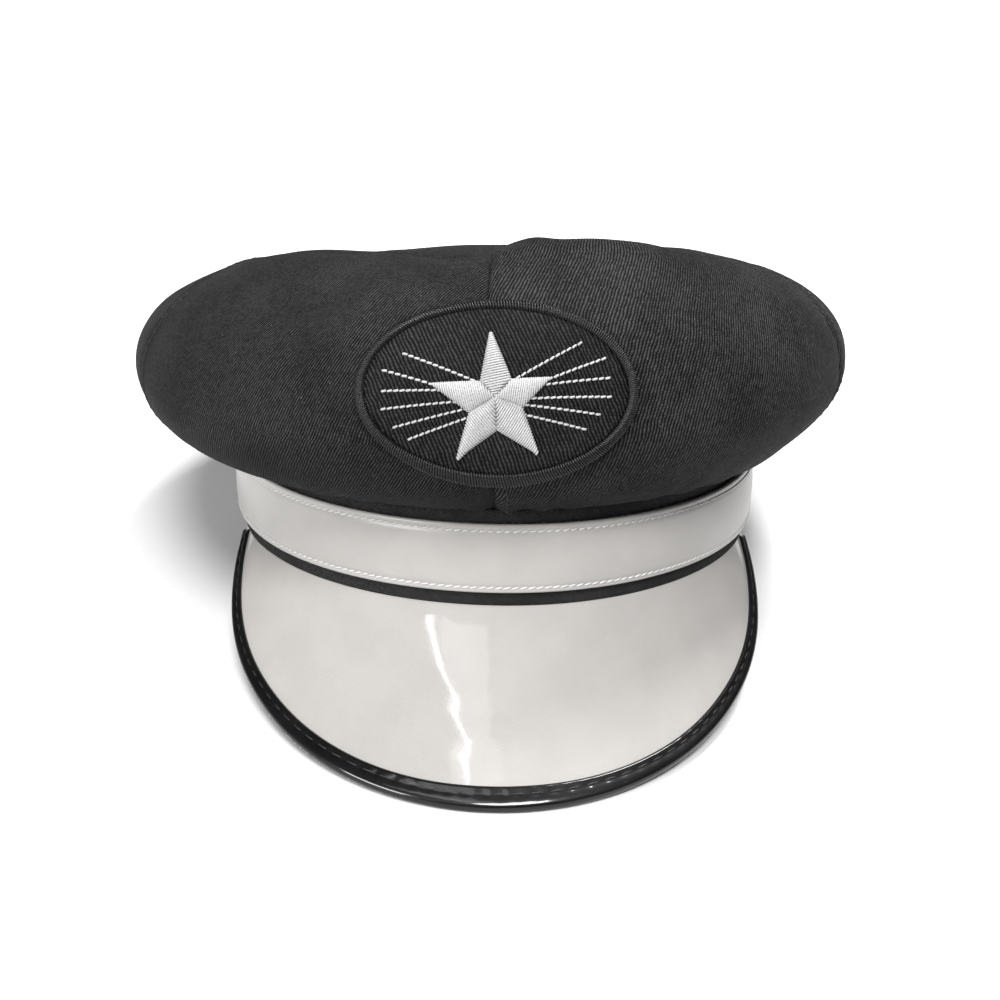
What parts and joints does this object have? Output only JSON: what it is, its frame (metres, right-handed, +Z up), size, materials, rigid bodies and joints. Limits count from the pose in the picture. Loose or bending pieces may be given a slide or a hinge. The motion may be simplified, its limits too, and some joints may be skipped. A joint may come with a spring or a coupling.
{
  "type": "motorcycle cap",
  "caption": "Soft peaked cap with a full twill crown, a vinyl strap round its band, a sloping vinyl visor with bound rim and an oval star patch on the front.",
  "frame": {"origin": "middle of the cap's footprint on the floor it rests on", "axes": "+Z up from the floor, front of the cap along -Y, wearer's left side along +X"},
  "size_m": [0.2446, 0.2858, 0.1367],
  "materials": {
    "crown_twill": "matte diagonal twill",
    "band_twill": "matte twill",
    "white_vinyl": "glossy vinyl",
    "black_vinyl": "glossy vinyl binding",
    "patch_twill": "matte twill",
    "black_thread": "embroidery thread",
    "white_thread": "satin embroidery thread"
  },
  "bodies": {
    "root": {"crown_top": "crown_twill", "crown_front_left": "crown_twill", "crown_front_right": "crown_twill", "crown_back_left": "crown_twill", "crown_back_right": "crown_twill", "head_band": "band_twill", "strap": "white_vinyl", "visor": "white_vinyl", "visor_binding": "black_vinyl", "patch_ground": "patch_twill", "patch_border": "black_thread", "star": "white_thread"}
  },
  "joints": []
}
